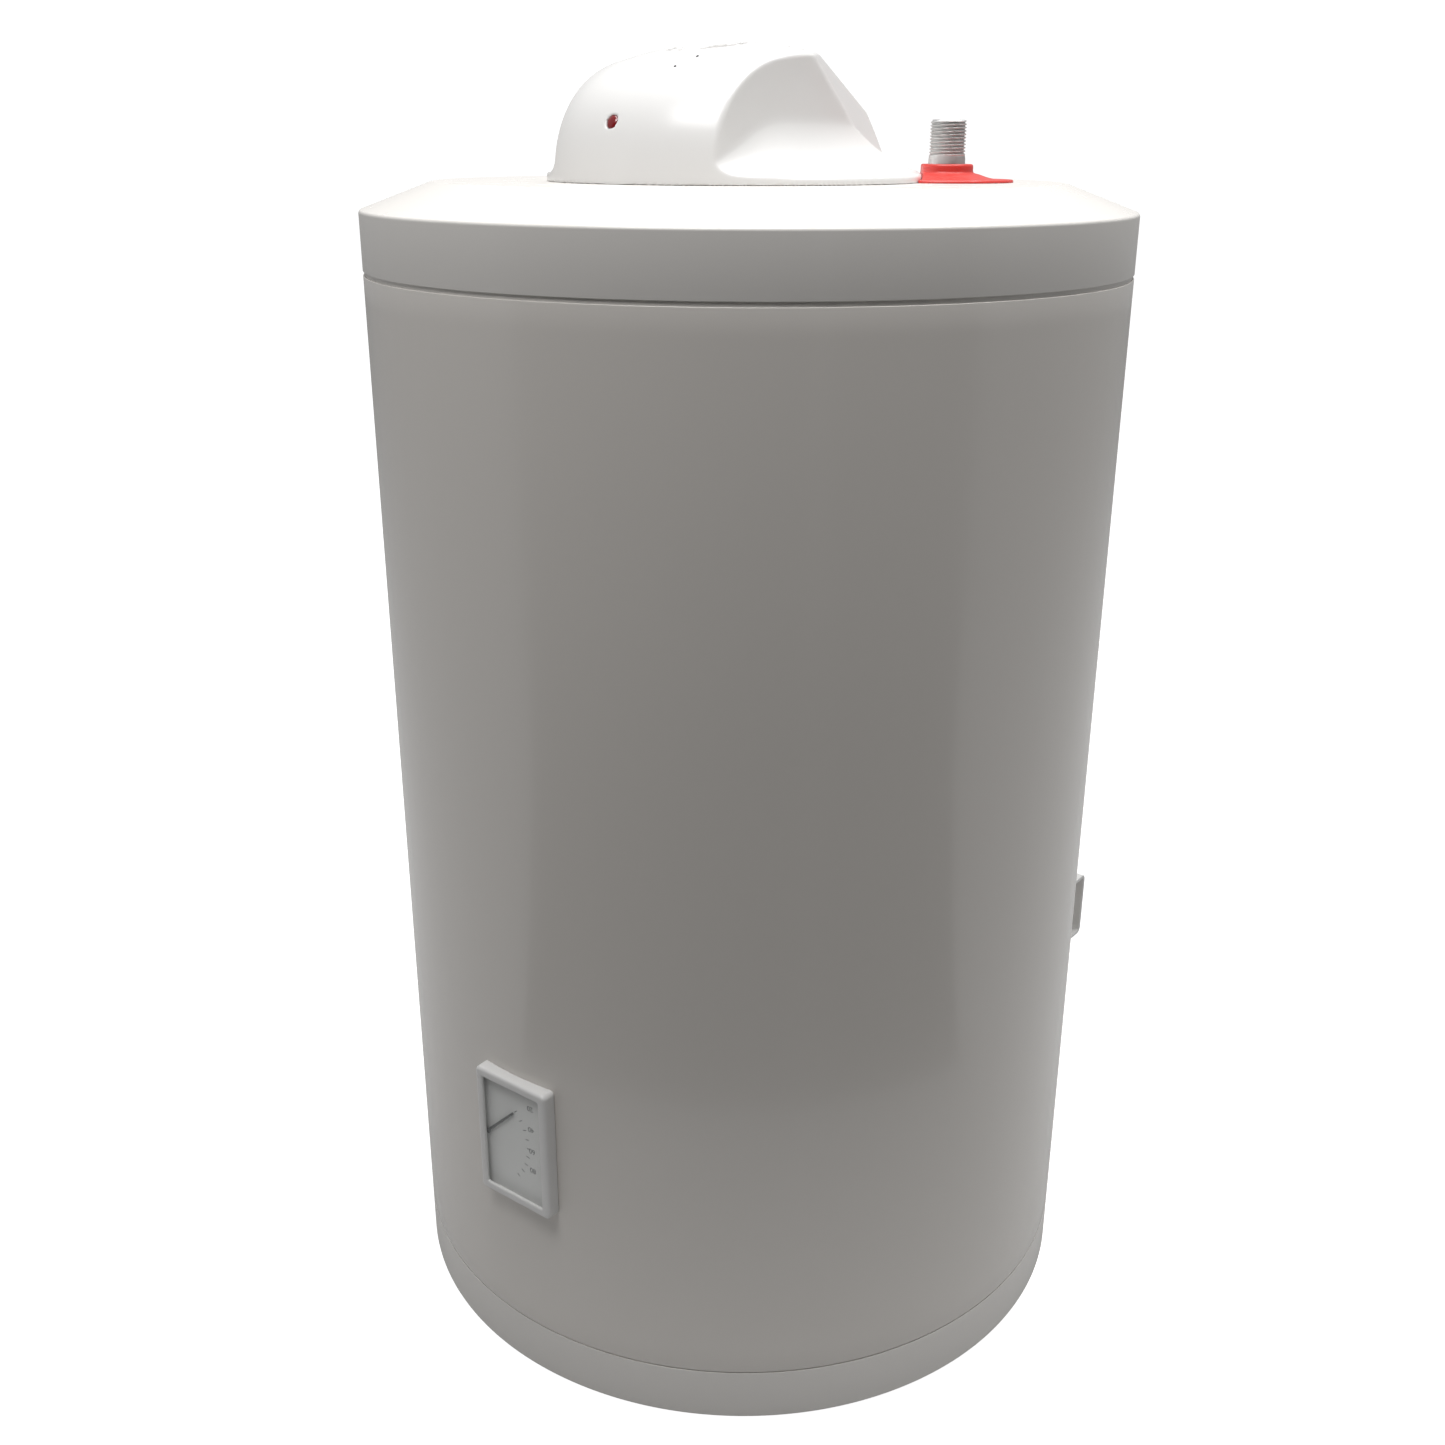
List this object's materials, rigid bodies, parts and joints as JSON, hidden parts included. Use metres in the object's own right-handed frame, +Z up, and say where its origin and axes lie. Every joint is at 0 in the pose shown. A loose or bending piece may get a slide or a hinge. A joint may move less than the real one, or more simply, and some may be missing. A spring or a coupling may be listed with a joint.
{
  "type": "tank water heater",
  "caption": "Wall-hung electric storage water heater, standing on its closed end, with domed terminal cover, threaded water pipes, dial thermometer and wall bracket.",
  "frame": {"origin": "centre of the flat bottom face of the closed end cap, on the tank's axis", "axes": "+Z up along the tank's axis towards the service end, -Y to the front with the thermometer, +Y towards the wall"},
  "size_m": [0.454, 0.4685, 0.7951],
  "materials": {
    "jacket_enamel": "gloss",
    "cap_plastic": "satin",
    "foam": "matte",
    "tank_steel": "gloss",
    "black_rubber": "matte",
    "zinc_steel": "satin",
    "element_sheath": "satin",
    "magnesium": "matte",
    "copper_tube": "satin",
    "brown_phenolic": "matte",
    "knob_plastic": "satin",
    "black_plastic": "matte",
    "red_plastic": "gloss",
    "ivory_plastic": "matte",
    "brass_parts": "satin",
    "wire_brown": "matte",
    "wire_blue": "matte",
    "wire_green": "matte",
    "lamp_red": "gloss",
    "wire_black": "matte",
    "cover_plastic": "satin",
    "pipe_steel": "satin",
    "ring_blue": "satin",
    "ring_red": "satin",
    "bracket_paint": "satin",
    "bezel_plastic": "gloss",
    "clear_window": "polished",
    "dial_face": "matte",
    "pointer_black": "matte"
  },
  "bodies": {
    "heater": {"outer_jacket": "jacket_enamel", "service_end_cap": "cap_plastic", "closed_end_cap": "cap_plastic", "foam_sleeve": "foam", "foam_service_end": "foam", "foam_closed_end": "foam", "tank_shell": "tank_steel", "tank_service_end": "tank_steel", "tank_closed_end": "tank_steel", "flange_neck": "tank_steel", "flange_gasket": "black_rubber", "flange_plate": "zinc_steel", "flange_studs": "zinc_steel", "flange_nuts": "zinc_steel", "heating_element_left": "element_sheath", "heating_element_right": "element_sheath", "anode_rod": "magnesium", "anode_nut": "zinc_steel", "sensor_pocket": "copper_tube", "sensor_bulbs": "copper_tube", "capillary_tubes": "copper_tube", "thermostat_bracket": "zinc_steel", "thermostat_body": "brown_phenolic", "cutout_body": "black_plastic", "terminal_block": "ivory_plastic", "terminal_screws": "brass_parts", "earth_screw": "brass_parts", "live_wires": "wire_brown", "neutral_wires": "wire_blue", "earth_wire": "wire_green", "cord_clamp": "ivory_plastic", "cord_clamp_screws": "zinc_steel", "cable_gland": "black_rubber", "lamp_lens": "lamp_red", "lamp_body": "ivory_plastic", "lamp_leads": "wire_black", "terminal_cover": "cover_plastic", "cover_screws": "zinc_steel", "cold_inlet_pipe": "pipe_steel", "hot_outlet_pipe": "pipe_steel", "cold_ring": "ring_blue", "hot_ring": "ring_red", "inlet_diffuser": "ivory_plastic", "pipe_seals": "black_rubber", "wall_bracket": "bracket_paint", "hanger_arms": "bracket_paint", "bracket_bolts": "zinc_steel", "thermometer_bezel": "bezel_plastic", "thermometer_window": "clear_window", "thermometer_dial": "dial_face", "bimetal_coil": "brass_parts", "thermometer_stem": "brass_parts"},
    "knob": {"thermostat_knob": "knob_plastic", "thermostat_shaft": "zinc_steel"},
    "reset_button": {"reset_button": "red_plastic"},
    "pointer": {"thermometer_pointer": "pointer_black", "pointer_spindle": "zinc_steel"}
  },
  "joints": [
    {"name": "thermostat_turn", "type": "hinge", "parent": "heater", "child": "knob", "pos_m": [0, -0.042, 0.79341], "axis": [0, -0.1392, 0.9903], "range_deg": [0, 270]},
    {"name": "reset_press", "type": "slide", "parent": "heater", "child": "reset_button", "axis": [0, 0.1392, -0.9903], "range_m": [0, 0.002], "stiffness_N_per_m": 1500, "springref_m": -0.001},
    {"name": "pointer_swing", "type": "hinge", "parent": "heater", "child": "pointer", "pos_m": [-0.024, -0.2305, 0.172], "axis": [0, 1, 0], "range_deg": [0, 88]}
  ]
}
